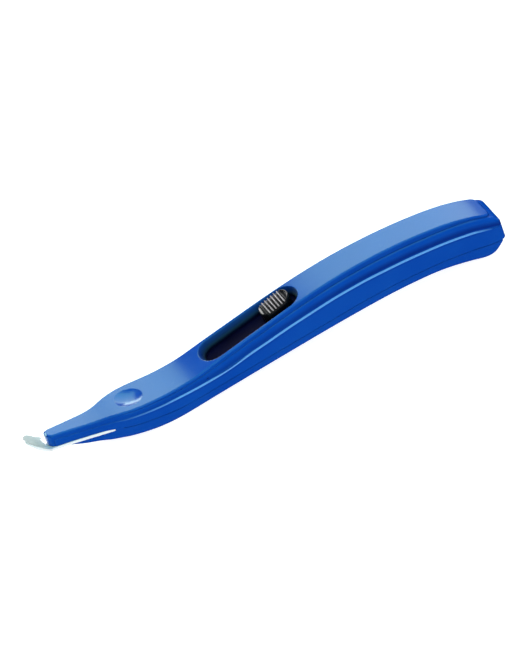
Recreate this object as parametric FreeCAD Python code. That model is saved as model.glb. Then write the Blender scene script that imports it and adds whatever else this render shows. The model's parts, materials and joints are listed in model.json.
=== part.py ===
# Hand-held staple remover: a long S-curved plastic handle in two shells, a steel
# lifting blade clamped in its nose, and a thumb slider that carries a magnet
# along a sloping slot towards the root of the blade.
#
# Lengths are in millimetres. "reach" is the distance behind the tip of the blade,
# "side" is the distance from the middle plane and "height" is above the surface
# that the tool lies on. The finished pieces are shifted so that the origin lies
# at the middle of the footprint.

import FreeCAD, Part

import math
import os

Vec = FreeCAD.Vector

# ---------------------------------------------------------------- driving sizes
LENGTH = 171.0
FLOOR_WALL = 1.4
SIDE_WALL = 1.6
UPPER_WALL = 1.5
ROOF_WALL = 1.7
SHOULDER_WALL = 1.25
CAVITY_CHAMFER = 0.6

# Outline of the housing as (reach, height) or (reach, half width) pairs.
CREASE = 20.8
CREASE_HEIGHT = 12.11
NOSE_SLOPE = 0.1386
PANEL_TOP = [(CREASE, CREASE_HEIGHT), (22.6, 11.9), (26.2, 11.82), (31.0, 12.0), (40.0, 11.4),
             (49.0, 10.95), (58.0, 11.5), (66.0, 13.0), (75.0, 14.7), (96.0, 18.45), (112.0, 20.4),
             (126.0, 21.0), (140.0, 20.5), (154.0, 18.8), (163.4, 16.3), (169.0, 13.9)]
STEP_DEPTH = [(7.0, 0.5), (24.0, 0.6), (34.0, 0.8), (50.0, 1.1), (75.0, 1.7),
              (110.0, 2.1), (150.0, 1.9), (162.0, 1.15), (169.0, 0.8)]
REAR_SLOPE = [(166.0, 14.2), (168.0, 13.5), (169.6, 12.6), (170.6, 11.5), (171.0, 10.4)]
RIDGE = [(7.0, 12.2), (23.4, 9.9), (35.0, 9.2), (49.0, 8.1), (62.0, 8.15), (81.0, 10.7),
         (100.0, 13.3), (118.0, 14.8), (130.0, 14.8), (145.0, 14.0), (157.0, 12.5),
         (167.6, 9.9), (171.0, 8.9)]
PARTING = [(50.0, 4.1), (58.0, 4.3), (68.0, 4.9), (82.0, 5.75), (102.0, 6.9),
           (123.0, 8.1), (138.0, 7.95), (150.0, 7.15), (160.0, 5.7),
           (166.0, 4.5), (171.0, 4.2)]
BELLY = [(12.5, 7.2), (18.0, 4.9), (23.6, 3.3), (27.0, 2.3), (32.0, 1.75), (36.0, 1.3),
         (42.0, 0.4), (46.0, -0.05), (49.5, -0.13), (54.0, 0.17), (62.0, 0.72), (78.0, 1.9),
         (98.0, 3.2), (114.0, 4.05), (128.0, 4.48), (139.0, 4.25), (147.0, 3.6), (153.0, 2.5),
         (158.0, 1.3), (162.0, 0.15), (164.4, -0.12), (166.3, 0.3), (168.0, 1.4), (169.3, 2.8),
         (170.2, 4.0)]
PANEL_HALF = [(7.0, 2.1), (12.0, 2.55), (18.0, 3.2), (24.0, 4.0), (27.2, 4.85), (30.0, 5.8),
              (33.0, 6.6), (37.0, 7.3), (42.0, 7.4), (50.0, 7.15), (63.0, 6.9), (82.0, 6.55),
              (103.0, 6.2), (123.0, 5.95), (140.0, 5.85), (171.0, 5.85)]
BAND_HALF = [(7.0, 2.4), (12.0, 2.85), (18.0, 3.5), (24.0, 4.4), (28.4, 5.6), (32.0, 7.0),
             (36.0, 7.9), (41.0, 8.2), (50.0, 8.0), (63.0, 7.9), (82.0, 7.8), (103.0, 7.65),
             (123.0, 7.55), (150.0, 7.5), (171.0, 7.4)]
COVE_DEPTH = [(7.0, 0.28), (24.0, 0.3), (38.0, 0.5), (60.0, 0.8), (100.0, 0.95),
              (158.0, 0.95), (168.0, 0.45), (171.0, 0.35)]
CREST = 0.42
SHOULDER_PIECES = 3
COVE_PIECES = 3
CREST_PIECES = 2
BELLY_PIECES = 5
GROOVE_FRONT = 31.0
GROOVE_INSET = 0.45
GROOVE_HEIGHT = 0.4

NOSE_FRONT = 7.15
NOSE_RADIUS = 1.9
PANEL_REAR = 168.5
PANEL_CORNER = 2.2
CORNER_FLAT = 1.06
PANEL_EDGE = 0.4
RIM_TOLERANCE = 0.1
PANEL_DEPTH = 2.4
REAR_RADIUS = 2.0
RIM_INSET = 0.35
PANEL_FRONT_STEP = 0.3
BELLY_RADIUS = 1.7
DRAFT = 0.1
LOWER_FRONT = 12.5
LOWER_REAR = 170.2

# Spacing of the cross-sections: close where the outline bends, wide along the handle.
FLARE_END = 41.0
TAIL_START = 157.0
NOSE_SPACING = 5.8
FLARE_SPACING = 2.9
HANDLE_SPACING = 9.7
TAIL_SPACING = 3.0
FOOT_SPACING = 1.85
SLAB_SPACING = 6.0

# Blade: a flat shank that slopes down into the handle and a scooped, upturned tip.
BLADE_THICK = 0.9
BLADE_EDGE_THICK = 0.45
BLADE_TOP = 9.576
BLADE_SLOPE = 0.126
BLADE_REAR = 41.0
BLADE_CORNER = 2.0
BLADE_HALF = [(8.4, 2.95), (12.0, 3.1), (28.4, 5.2)]
BLADE_COVERED = 28.4
BLADE_PLAY = 0.1
BEND_START = 8.4
BEND_RADIUS = 6.0
RAMP_ANGLE = 42.0
SCOOP_HALF = 4.05
SCOOP_CUP = 0.5
SCOOP_TIP = 3.6
SCOOP_BEND = 6.5
SCOOP_SHOULDER = 7.9
SCOOP_NECK = 9.6
SCOOP_END = 10.8
SCOOP_PIECES = 6
SCOOP_TAPER = 4.0
RELIEF_START = 8.7
RELIEF_END = 5.0

# Posts of the lower shell that pass through the blade, and the shells' own joints.
POST_REACHES = (26.5, 35.0)
POST_RADIUS = 1.2
BLADE_HOLE_RADIUS = 1.3
SOCKET_DEPTH = 2.6
PIN_REACHES = (133.0, 160.0)
PIN_RADIUS = 1.5
PIN_GAP = 0.06
PIN_HEADROOM = 0.4
JOIN_GAP = 0.1
BOSS_RADIUS = 2.8
PIN_COLLAR = 2.5
HOOK_REACHES = (114.0, 148.0)
HOOK_WIDTH = 5.0
HOOK_RISE = 5.2
HOOK_THICK = 0.9
HOOK_BARB = 0.55
HOOK_INSET = 1.2
BARB_LIP = 0.3
LEDGE_RISE = 2.5
LEDGE_THICK = 1.2
LEDGE_REACH = 1.0
LEDGE_MARGIN = 0.7
LIP_RISE = 0.9
LIP_INSET = 1.85
LIP_THICK = 0.6
LIP_ROOT = 2.0
LIP_FRONT = 43.5
LIP_REAR = 165.3
CAVITY_FRONT = 42.0
CAVITY_REAR = 166.5
CAVITY_SPACING = 12.4
CAVITY_OPEN = 3.0
ROOT = 0.5
RIB_REACHES = (108.0, 120.0, 126.0, 141.0, 154.0)
RIB_THICK = 1.0
RIB_DEPTH = 6.5
RIB_HALF = 6.2
RIB_DROP = 0.3

# Thumb dimple pressed into the panel over the blade's root.
DIMPLE_REACH = 38.1
DIMPLE_RADIUS = 4.6
DIMPLE_DEPTH = 0.8

# Slot, slider and magnet, in a frame that lies on the panel and slopes with it.
SLOT_REACH = 82.5
SLOT_PITCH = 10.6
SLOT_HALF_LENGTH = 19.2
SLOT_HALF_WIDTH = 5.8
SLOT_CORNER = 5.6
TROUGH_WALL = [(-2.5, 1.6), (-1.7, 1.0), (-0.9, 0.6), (-0.3, 0.3), (0.0, 0.0)]
FLOOR_DEPTH = 3.3
FRAME_TOP = 0.6
SLIDE_GAP = 0.15
BUTTON_REACH = 10.4
BUTTON_HALF_LENGTH = 5.6
BUTTON_HALF_WIDTH = 3.65
BUTTON_CORNER = 3.5
BUTTON_RISE = 1.05
BUTTON_TILT = 3.6
BUTTON_CROWN = 24.0
BUTTON_FRONT_DROP = 1.5
BUTTON_FRONT_ROUND = 0.3
BUTTON_LIFT = 0.08
GRIP_COUNT = 7
GRIP_PITCH = 1.2
GRIP_START = -3.55
GROOVE_MOUTH = 0.74
GROOVE_FLOOR = 0.4
GROOVE_DEPTH = 0.55
GROOVE_LIFT = 0.05
GROOVE_SWEEP = 12.0
POCKET_START = 3.4
POCKET_RIM = 0.5
POCKET_DEPTH = 0.6
CARRIER_FRONT = -20.2
CARRIER_REAR = 18.0
CARRIER_HALF = 4.7
CARRIER_THICK = 1.85
CARRIER_CORNER = 1.2
MAGNET_START = 0.45
MAGNET_LENGTH = 7.5
MAGNET_HALF = 3.0
MAGNET_THICK = 1.3
MAGNET_PLAY = 0.05
MAGNET_LIP = 0.6
MAGNET_CHAMFER = 0.15
LEG_OFFSET = 3.0
LEG_HALF = 0.7
LEG_WIDTH = 1.4
LEG_BARB = 0.45
LEG_FOOT = 1.0
LEG_PLAY = 0.05
WINDOW_PLAY = 0.1
RAIL_FRONT = -38.0
RAIL_REAR = 14.0
RAIL_FOOT = -16.0
RAIL_LEDGE = 0.95
RAIL_SIDE = 0.45
RAIL_GRIP = 0.7

# How far cutting shapes run past the faces that they open.
TOP = 40.0
FAR = 12.0
CLEAR = 1.0
SKIN = 0.01


def smooth(points, reach):
    """Height or half width at a reach, on a smooth curve through the points."""
    if reach <= points[0][0]:
        return points[0][1]
    if reach >= points[-1][0]:
        return points[-1][1]
    index = 0
    while points[index + 1][0] < reach:
        index += 1

    def slope(at):
        before, after = points[max(at - 1, 0)], points[min(at + 1, len(points) - 1)]
        return (after[1] - before[1]) / (after[0] - before[0])

    start, end = points[index], points[index + 1]
    span = end[0] - start[0]
    part = (reach - start[0]) / span
    square, cube = part ** 2, part ** 3
    return (start[1] * (2 * cube - 3 * square + 1) + span * slope(index) * (cube - 2 * square + part)
            + end[1] * (3 * square - 2 * cube) + span * slope(index + 1) * (cube - square))


def panel_top(reach):
    """Height of the raised top panel: a straight nose, then the S-curve of the handle."""
    if reach < CREASE:
        return CREASE_HEIGHT + NOSE_SLOPE * (CREASE - reach)
    return smooth(PANEL_TOP, reach)


def body_top(reach):
    """Height of the shoulder that surrounds the raised panel."""
    if reach > REAR_SLOPE[0][0]:
        return smooth(REAR_SLOPE, reach)
    return panel_top(reach) - smooth(STEP_DEPTH, reach)


def blade_top(reach):
    """Height of the blade's upper face; its shank is flat."""
    return BLADE_TOP - BLADE_SLOPE * (reach - NOSE_FRONT)


def blade_under(reach):
    """Height of the blade's lower face, which lies parallel to the upper one."""
    return blade_top(reach) - BLADE_THICK * math.sqrt(1 + BLADE_SLOPE ** 2)


def parting(reach):
    """Height of the line where the shells meet: the blade's plane, then a curve of its own."""
    if reach < CAVITY_FRONT:
        return blade_top(reach)
    return smooth([(CAVITY_FRONT, blade_top(CAVITY_FRONT))] + PARTING, reach)


def belly_floor(reach):
    """Height of the lower shell's underside, with the flats that it rests on."""
    return max(smooth(BELLY, reach), 0.0)


def stations(start, end, spacing):
    """Evenly spaced reaches from start to end."""
    count = max(int(round((end - start) / spacing)), 1)
    return [start + (end - start) * step / count for step in range(count + 1)]


def rear_steps(rear):
    """Closely spaced reaches round the corner at the rear end."""
    return [rear - REAR_RADIUS * share for share in (0.55, 0.2, 0.0)]


# ---------------------------------------------------------------- general solids
def pole_edge(poles):
    """A straight edge for two poles, or a bent one for three."""
    if len(poles) == 2:
        return Part.LineSegment(poles[0], poles[1]).toShape()
    curve = Part.BezierCurve()
    curve.setPoles(poles)
    return curve.toShape()


def smooth_face(rows, marks):
    """Face through rows of poles, smooth from row to row."""
    lines = []
    for column in zip(*rows):
        line = Part.BSplineCurve()
        line.interpolate(Points=list(column), Parameters=marks)
        lines.append(line)
    degree = len(lines) - 1
    surface = Part.BSplineSurface()
    surface.buildFromPolesMultsKnots([line.getPoles() for line in lines], [degree + 1, degree + 1],
                                     lines[0].getMultiplicities(), [0.0, 1.0], lines[0].getKnots(),
                                     False, False, degree, lines[0].Degree)
    return surface.toShape()


def skinned(sections):
    """Solid through matching sections: a smooth face for each stretch and a flat one at each end."""
    marks = [0.0]
    for before, after in zip(sections, sections[1:]):
        steps = [(far - near).Length for old, new in zip(before, after) for near, far in zip(old, new)]
        marks.append(marks[-1] + sum(steps) / len(steps))
    faces = [smooth_face([section[index] for section in sections], marks)
             for index in range(len(sections[0]))]
    for section in (sections[0], sections[-1]):
        faces.append(Part.Face(Part.Wire([pole_edge(poles) for poles in section])))
    shell = Part.makeShell(faces)
    shell.sewShape()
    solid = Part.makeSolid(shell)
    return solid if solid.Volume > 0 else solid.reversed()


def bent_stretches(first, bend, last, count):
    """Cut the curve from first to last, bent by a pole, into a number of shorter bent stretches."""
    def blend(start, end, part):
        return tuple(low + (high - low) * part for low, high in zip(start, end))

    stretches = []
    for step in range(count, 0, -1):
        pull, reach = blend(first, bend, 1.0 / step), blend(bend, last, 1.0 / step)
        middle = blend(pull, reach, 1.0 / step)
        stretches.append([first, pull, middle])
        first, bend = middle, reach
    return stretches


def mirrored_section(reach, corners, bends):
    """Closed section from half an outline of (side, height) corners.

    bends maps the index of a stretch to the pole that bends it and the number of pieces to cut it into."""
    near = []
    for index in range(len(corners) - 1):
        if index in bends:
            pole, pieces = bends[index]
            near += bent_stretches(corners[index], pole, corners[index + 1], pieces)
        else:
            near.append([corners[index], corners[index + 1]])
    far = [[(-side, height) for side, height in reversed(poles)] for poles in reversed(near)]
    top = [(-corners[0][0], corners[0][1]), corners[0]]
    base = [corners[-1], (-corners[-1][0], corners[-1][1])]
    loop = [top] + near + [base] + far
    return [[Vec(reach, side, height) for side, height in poles] for poles in loop]


def side_curve(height_at, reaches):
    """Smooth edge in the middle plane through the heights at some reaches."""
    curve = Part.BSplineCurve()
    curve.interpolate([Vec(reach, 0, height_at(reach)) for reach in reaches])
    return curve.toShape()


def across(face, half_width=FAR):
    """Push a face in the middle plane out to both sides."""
    shifted = face.translated(Vec(0, -half_width, 0))
    return shifted.extrude(Vec(0, 2 * half_width, 0))


def polygon_face(points):
    """Flat face inside a closed run of corners."""
    return Part.Face(Part.makePolygon(points + points[:1]))


def profile_slab(low, high, start, end, half_width=FAR, spacing=SLAB_SPACING):
    """Solid across the tool between two height lines, from one reach to another."""
    reaches = stations(start, end, spacing)
    front = pole_edge([Vec(start, 0, low(start)), Vec(start, 0, high(start))])
    rear = pole_edge([Vec(end, 0, low(end)), Vec(end, 0, high(end))])
    outline = [side_curve(low, reaches), rear, side_curve(high, reaches), front]
    return across(Part.Face(Part.Wire(outline)), half_width)


def box(low, high):
    """Box between two opposite corners."""
    size = Vec(*high) - Vec(*low)
    return Part.makeBox(size.x, size.y, size.z, Vec(*low))


def both_sides(shape):
    """A shape and its mirror image in the middle plane."""
    return shape.fuse(shape.mirror(Vec(0, 0, 0), Vec(0, 1, 0)))


def joined(shapes):
    """One shape fused from several."""
    body = shapes[0]
    for shape in shapes[1:]:
        body = body.fuse(shape)
    return body


def on_slot(shape):
    """Move a shape from the slot's own frame to its place on the panel."""
    placed = shape.copy()
    placed.rotate(Vec(0, 0, 0), Vec(0, 1, 0), -SLOT_PITCH)
    placed.translate(Vec(SLOT_REACH, 0, panel_top(SLOT_REACH)))
    return placed


def rounded_corners(half_length, half_width, corner, height):
    """The eight stretches of a rounded rectangle, each a straight line or an arc given by points."""
    flat_length, flat_width = half_length - corner, half_width - corner
    lean = corner * math.sqrt(0.5)
    arcs = []
    for turn, (along, side) in enumerate(((1, 1), (-1, 1), (-1, -1), (1, -1))):
        centre = Vec(along * flat_length, side * flat_width, height)
        ends = [centre + Vec(along * corner, 0, 0), centre + Vec(0, side * corner, 0)]
        if turn % 2 == 1:
            ends.reverse()
        arcs.append([ends[0], centre + Vec(along * lean, side * lean, 0), ends[1]])
    return arcs


def rounded_outline(half_length, half_width, corner, height):
    """Rounded rectangle at a height of the slot's frame."""
    arcs = rounded_corners(half_length, half_width, corner, height)
    edges = []
    for arc, following in zip(arcs, arcs[1:] + arcs[:1]):
        edges.append(Part.Arc(*arc).toShape())
        edges.append(pole_edge([arc[2], following[0]]))
    return Part.Wire(edges)


def rounded_block(half_length, half_width, corner, low, high):
    """Upright block with a rounded rectangular outline in the slot's frame."""
    face = Part.Face(rounded_outline(half_length, half_width, corner, low))
    return face.extrude(Vec(0, 0, high - low))


# ---------------------------------------------------------------- upper shell
def upper_section(reach):
    """Cross-section of the upper shell: shoulder, cove, ridge and flat lower band."""
    panel, band = smooth(PANEL_HALF, reach), smooth(BAND_HALF, reach)
    cove = smooth(COVE_DEPTH, reach)
    top, ridge = body_top(reach), smooth(RIDGE, reach)
    depth = top - ridge
    crest = CREST * cove
    shelf = panel + 0.1 * (band - panel)
    brow = (band - 0.75 * cove, top - 0.36 * depth)
    corners = [(shelf, top), brow, (band - crest, ridge), (band, ridge - crest), (band, parting(reach))]
    over = (shelf + 0.85 * (brow[0] - shelf), top - 0.1 * depth)
    under = (band - crest - 0.55 * cove, ridge + 0.04 * depth)
    bends = {0: (over, SHOULDER_PIECES), 1: (under, COVE_PIECES), 2: ((band, ridge), CREST_PIECES)}
    return mirrored_section(reach, corners, bends)


def corner_waste(end, half, radius):
    """What to cut away to round both upright corners of an end; radius points into the body."""
    size = abs(radius)
    lean = 1 - math.sqrt(0.5)
    start, finish = Vec(end + radius, half, -FAR), Vec(end, half - size, -FAR)
    middle = Vec(end + radius * lean * CORNER_FLAT, half - size * lean * CORNER_FLAT, -FAR)
    arc = Part.Arc(start, middle, finish).toShape()
    beyond = end - math.copysign(CLEAR, radius)
    outside = [finish, Vec(beyond, half - size, -FAR), Vec(beyond, half + CLEAR, -FAR),
               Vec(end + radius, half + CLEAR, -FAR), start]
    face = Part.Face(Part.Wire([arc] + Part.makePolygon(outside).Edges))
    return both_sides(face.extrude(Vec(0, 0, TOP + FAR)))


def upper_solid():
    """Outer form of the upper shell without its raised panel."""
    nose = stations(NOSE_FRONT, CREASE, NOSE_SPACING)
    flare = stations(CREASE, FLARE_END, FLARE_SPACING)
    handle = stations(FLARE_END, TAIL_START, HANDLE_SPACING)
    tail = stations(TAIL_START, LENGTH - REAR_RADIUS, TAIL_SPACING)
    runs = (nose, flare + handle[1:] + tail[1:] + rear_steps(LENGTH))
    body = joined([skinned([upper_section(reach) for reach in run]) for run in runs])
    body = body.cut(corner_waste(NOSE_FRONT, smooth(BAND_HALF, NOSE_FRONT), NOSE_RADIUS))
    return body.cut(corner_waste(LENGTH, smooth(BAND_HALF, LENGTH), -REAR_RADIUS))


def panel_outline():
    """Plan outline of the raised panel, rounded at the nose and at the rear."""
    front, rear = NOSE_FRONT + PANEL_FRONT_STEP, PANEL_REAR
    reaches = stations(front + NOSE_RADIUS, FLARE_END, FLARE_SPACING)
    reaches += stations(FLARE_END, rear - PANEL_CORNER, HANDLE_SPACING)[1:]
    near = [Vec(reach, -smooth(PANEL_HALF, reach), 0) for reach in reaches]
    far = [Vec(point.x, -point.y, 0) for point in reversed(near)]
    lean = 1 - math.sqrt(0.5)
    edges = []
    for row, tip, radius, sign in ((near, rear, PANEL_CORNER, 1), (far, front, NOSE_RADIUS, -1)):
        side = Part.BSplineCurve()
        side.interpolate(row)
        start = row[-1]
        inward = math.copysign(radius, -start.y)
        corner = Vec(tip - sign * radius * lean, start.y + inward * lean, 0)
        turned = Vec(tip, start.y + inward, 0)
        mirrored = [Vec(point.x, -point.y, 0) for point in (turned, corner, start)]
        edges += [side.toShape(), Part.Arc(start, corner, turned).toShape(),
                  pole_edge([turned, mirrored[0]]), Part.Arc(*mirrored).toShape()]
    return Part.Wire(edges)


def panel_layer(drop):
    """Side view of everything below the panel's top, or below a depth under it."""
    def line(reach):
        return panel_top(reach) - drop

    end = PANEL_TOP[-1][0]
    nose = pole_edge([Vec(0, 0, line(0)), Vec(CREASE, 0, line(CREASE))])
    bend, slope = stations(CREASE, FLARE_END, FLARE_SPACING), stations(FLARE_END, end, SLAB_SPACING)
    back = side_curve(line, bend + slope[1:])
    floor = Part.makePolygon([Vec(end, 0, line(end)), Vec(end, 0, -1), Vec(0, 0, -1), Vec(0, 0, line(0))])
    return across(Part.Face(Part.Wire([nose, back] + floor.Edges)))


def raised_panel():
    """The raised top panel with its softened upper edge."""
    prism = Part.Face(panel_outline()).extrude(Vec(0, 0, TOP))
    panel = prism.common(panel_layer(0.0)).cut(panel_layer(PANEL_DEPTH))
    return panel.makeChamfer(PANEL_EDGE, [edge for edge in panel.Edges if on_panel_rim(edge)])


def on_panel_rim(edge):
    """True for an edge that runs round the top of the raised panel, not across it."""
    first, last = edge.ParameterRange
    for part in (0.2, 0.5, 0.8):
        point = edge.valueAt(first + part * (last - first))
        on_top = abs(point.z - panel_top(point.x)) < RIM_TOLERANCE
        at_end = point.x < NOSE_FRONT + NOSE_RADIUS or point.x > PANEL_REAR - PANEL_CORNER
        at_side = abs(abs(point.y) - smooth(PANEL_HALF, point.x)) < 2 * RIM_TOLERANCE
        if not on_top or not (at_end or at_side):
            return False
    return True


def upper_cavity():
    """Hollow of the upper shell, open downwards, with a chamfer along its roof."""
    sections = []
    for reach in stations(CAVITY_FRONT, CAVITY_REAR, CAVITY_SPACING):
        roof, foot = panel_top(reach) - ROOF_WALL, parting(reach) - CLEAR
        roof_half = smooth(PANEL_HALF, reach) - SHOULDER_WALL
        foot_half = smooth(BAND_HALF, reach) - UPPER_WALL
        corners = [(roof_half - CAVITY_CHAMFER, roof), (roof_half, roof - CAVITY_CHAMFER), (foot_half, foot)]
        sections.append(mirrored_section(reach, corners, {}))
    return skinned(sections)


def slot_trough():
    """The tapered recess that the thumb slider runs in, and the opening in its floor."""
    depths = TROUGH_WALL + [(2 * CLEAR, 0.0)]
    wires = [rounded_outline(SLOT_HALF_LENGTH - inset, SLOT_HALF_WIDTH - inset, SLOT_CORNER - inset, height)
             for height, inset in depths]
    trough = Part.makeLoft(wires, True, True)
    depth, inset = TROUGH_WALL[0]
    opening = rounded_block(SLOT_HALF_LENGTH - inset, SLOT_HALF_WIDTH - inset, SLOT_CORNER - inset,
                            -FLOOR_DEPTH - CLEAR, depth + SKIN)
    return on_slot(trough.fuse(opening))


def slot_frame(outer):
    """Thick wall round the slot, inside the shell, with a flat face for the slide plate."""
    length, width = SLOT_HALF_LENGTH + ROOF_WALL, SLOT_HALF_WIDTH + ROOF_WALL
    return on_slot(box((-length, -width, -FLOOR_DEPTH), (length, width, -FRAME_TOP))).common(outer)


def dimple():
    """Ball that presses the thumb dimple into the panel."""
    radius = (DIMPLE_RADIUS ** 2 + DIMPLE_DEPTH ** 2) / (2 * DIMPLE_DEPTH)
    centre = Vec(DIMPLE_REACH, 0, panel_top(DIMPLE_REACH) - DIMPLE_DEPTH + radius)
    return Part.makeSphere(radius, centre, Vec(0, 1, 0))


def upper_fittings(outer):
    """Cross ribs, pin bosses and hook ledges that grow out of the roof and sides of the handle."""
    shapes = []
    for reach in RIB_REACHES:
        low, half = panel_top(reach) - RIB_DEPTH, RIB_THICK / 2
        shapes.append(box((reach - half, -RIB_HALF, low), (reach + half, RIB_HALF, TOP)))
    for reach in PIN_REACHES:
        low = parting(reach) + LIP_RISE + JOIN_GAP
        shapes.append(Part.makeCylinder(BOSS_RADIUS, TOP, Vec(reach, 0, low)))
    for reach in HOOK_REACHES:
        low, inner = parting(reach) + LEDGE_RISE, smooth(PANEL_HALF, reach) - LEDGE_REACH
        half, outside = HOOK_WIDTH / 2 + LEDGE_MARGIN, smooth(BAND_HALF, reach) - UPPER_WALL / 2
        ledge = box((reach - half, inner, low), (reach + half, outside, low + LEDGE_THICK))
        shapes.append(both_sides(ledge))
    body = joined(shapes).common(outer).common(panel_layer(ROOF_WALL / 2))
    for reach in PIN_REACHES:
        foot = Vec(reach, 0, parting(reach))
        body = body.cut(Part.makeCylinder(PIN_RADIUS + PIN_GAP, HOOK_RISE + PIN_HEADROOM, foot))
    return body


def scoop_relief():
    """Wedge that clears the bend of the blade under the front of the nose."""
    edge = Vec(RELIEF_START, 0, blade_top(RELIEF_START))
    mouth = Vec(RELIEF_END, 0, blade_top(RELIEF_END))
    return across(polygon_face([edge, mouth - Vec(0, 0, CLEAR), mouth + Vec(0, 0, CLEAR)]))


def upper_shell():
    body = upper_solid()
    outer = body.fuse(raised_panel())
    shell = outer.cut(upper_cavity()).fuse(slot_frame(outer))
    shell = shell.cut(slot_trough()).cut(dimple()).fuse(upper_fittings(outer))
    for reach in POST_REACHES:
        foot = Vec(reach, 0, blade_top(reach) - CLEAR)
        shell = shell.cut(Part.makeCylinder(POST_RADIUS + PIN_GAP, SOCKET_DEPTH + CLEAR, foot))
    return shell.cut(scoop_relief())


# ---------------------------------------------------------------- lower shell
def lower_section(reach):
    """Cross-section of the lower shell: upright sides and a flat belly with round corners."""
    half, top, base = smooth(BAND_HALF, reach) - RIM_INSET, parting(reach), smooth(BELLY, reach)
    radius = min(BELLY_RADIUS, 0.7 * (top - base))
    corners = [(half, top), (half - DRAFT, base + radius), (half - radius, base)]
    return mirrored_section(reach, corners, {1: ((half - 1.5 * DRAFT, base), BELLY_PIECES)})


def lower_outer():
    """Outer form of the lower shell, cut off flat where it rests."""
    front = stations(LOWER_FRONT, FLARE_END, FLARE_SPACING)
    handle = stations(FLARE_END, TAIL_START, HANDLE_SPACING)
    tail = stations(TAIL_START, LOWER_REAR - REAR_RADIUS, FOOT_SPACING)
    run = front + handle[1:] + tail[1:] + rear_steps(LOWER_REAR)
    solid = skinned([lower_section(reach) for reach in run]).cut(box((0, -FAR, -FAR), (LENGTH, FAR, 0)))
    return solid.cut(corner_waste(LOWER_REAR, smooth(BAND_HALF, LOWER_REAR) - RIM_INSET, -REAR_RADIUS))


def parting_groove():
    """Narrow reveal round the top of the lower shell that draws the line between the shells."""
    above = profile_slab(lambda reach: parting(reach) - GROOVE_HEIGHT, lambda reach: TOP,
                         GROOVE_FRONT, LENGTH)
    core, rear = [], LOWER_REAR - GROOVE_INSET
    for reach in stations(GROOVE_FRONT - CLEAR, rear, CAVITY_SPACING):
        half = smooth(BAND_HALF, reach) - RIM_INSET - GROOVE_INSET
        rim = [(half, parting(reach) + CLEAR), (half, parting(reach) - CLEAR)]
        core.append(mirrored_section(reach, rim, {}))
    return above.cut(skinned(core).cut(corner_waste(rear, half, -REAR_RADIUS)))


def lower_cavity():
    """Hollow of the lower shell, open upwards."""
    sections = []
    for reach in stations(CAVITY_FRONT, CAVITY_REAR, CAVITY_SPACING):
        half = smooth(BAND_HALF, reach) - RIM_INSET - SIDE_WALL
        floor = belly_floor(reach) + FLOOR_WALL
        corners = [(half, parting(reach) + CAVITY_OPEN), (half - DRAFT, floor + CAVITY_CHAMFER),
                   (half - CAVITY_CHAMFER, floor)]
        sections.append(mirrored_section(reach, corners, {}))
    return skinned(sections)


def lip_ring():
    """Thin wall that stands up inside the rim and fits into the upper shell, open at the front."""
    rings = []
    inside = (LIP_THICK, -LIP_ROOT - CLEAR, LIP_RISE + CLEAR)
    for step, low, high in ((0.0, -LIP_ROOT, LIP_RISE), inside):
        sections = []
        for reach in stations(LIP_FRONT - step, LIP_REAR - step, CAVITY_SPACING):
            half, rim = smooth(BAND_HALF, reach) - LIP_INSET - step, parting(reach)
            sections.append(mirrored_section(reach, [(half, rim + high), (half, rim + low)], {}))
        rings.append(skinned(sections))
    return rings[0].cut(rings[1])


def slide_rails():
    """Pair of sloping rails that carry the slide plate and keep it straight."""
    seat = -FLOOR_DEPTH - 2 * SLIDE_GAP - CARRIER_THICK
    guide = CARRIER_HALF + SLIDE_GAP
    support = box((RAIL_FRONT, guide - RAIL_LEDGE, RAIL_FOOT), (RAIL_REAR, guide, seat))
    side = box((RAIL_FRONT, guide, RAIL_FOOT), (RAIL_REAR, guide + RAIL_SIDE, -FLOOR_DEPTH - RAIL_GRIP))
    return on_slot(both_sides(support.fuse(side)))


def snap_hook(reach):
    """Pair of upright beams with barbs that catch on the ledges of the upper shell."""
    rim, outer, half = parting(reach), smooth(PANEL_HALF, reach) - HOOK_INSET, HOOK_WIDTH / 2
    beam = box((reach - half, outer - HOOK_THICK, belly_floor(reach) + ROOT),
               (reach + half, outer, rim + HOOK_RISE))
    catch = rim + LEDGE_RISE + LEDGE_THICK + JOIN_GAP
    tip = outer + HOOK_BARB
    barb = polygon_face([Vec(reach - half, outer, catch), Vec(reach - half, tip, catch),
                         Vec(reach - half, tip, catch + BARB_LIP), Vec(reach - half, outer, rim + HOOK_RISE)])
    return both_sides(beam.fuse(barb.extrude(Vec(HOOK_WIDTH, 0, 0))))


def lower_fittings():
    """Pins, hooks, cross ribs and rails that rise from the floor of the lower shell."""
    shapes = [slide_rails()]
    for reach in PIN_REACHES:
        foot = Vec(reach, 0, belly_floor(reach) + ROOT)
        rim = parting(reach) - foot.z
        shapes.append(Part.makeCylinder(PIN_COLLAR, rim + LIP_RISE, foot))
        shapes.append(Part.makeCylinder(PIN_RADIUS, rim + HOOK_RISE, foot))
    for reach in HOOK_REACHES:
        shapes.append(snap_hook(reach))
    for reach in RIB_REACHES:
        half, wide = RIB_THICK / 2, smooth(BAND_HALF, reach) - RIM_INSET - SIDE_WALL / 2
        shapes.append(box((reach - half, -wide, belly_floor(reach) + ROOT),
                          (reach + half, wide, parting(reach) - RIB_DROP)))
    above = profile_slab(lambda reach: belly_floor(reach) + ROOT, lambda reach: TOP,
                         CAVITY_FRONT, CAVITY_REAR)
    return joined(shapes).common(above)


def blade_seat():
    """Room for the blade in the lower shell: open at the nose, a pocket further back."""
    def above(reach):
        return blade_top(reach) + CLEAR

    half = BLADE_HALF[-1][1] + BLADE_PLAY
    open_front = profile_slab(blade_under, above, RELIEF_END, BLADE_COVERED)
    pocket = profile_slab(blade_under, above, BLADE_COVERED - CLEAR, BLADE_REAR + BLADE_PLAY, half)
    return open_front.fuse(pocket)


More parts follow.
